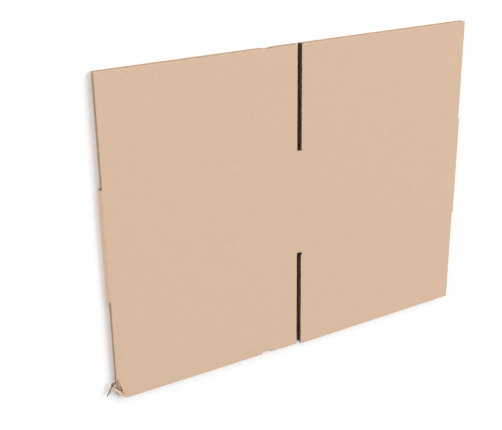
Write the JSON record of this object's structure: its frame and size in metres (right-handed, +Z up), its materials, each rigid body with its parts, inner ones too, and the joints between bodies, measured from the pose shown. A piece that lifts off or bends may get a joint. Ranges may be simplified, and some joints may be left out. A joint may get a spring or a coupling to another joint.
{
  "type": "flattened cardboard box",
  "caption": "Plain brown slotted carton of single-wall corrugated board, glued at its side joint and folded flat, with slots, scores, open flutes and a torn corner.",
  "frame": {"origin": "under the middle of the whole outline, on the surface that the flat box lies on", "axes": "+X across the panels, +Y along the flutes and the slots, +Z up through the two layers, out of the front face of the picture"},
  "size_m": [0.608, 0.4644, 0.0096],
  "materials": {
    "kraft_board": "matt"
  },
  "bodies": {
    "root": {"flattened_box": "kraft_board"}
  },
  "joints": []
}
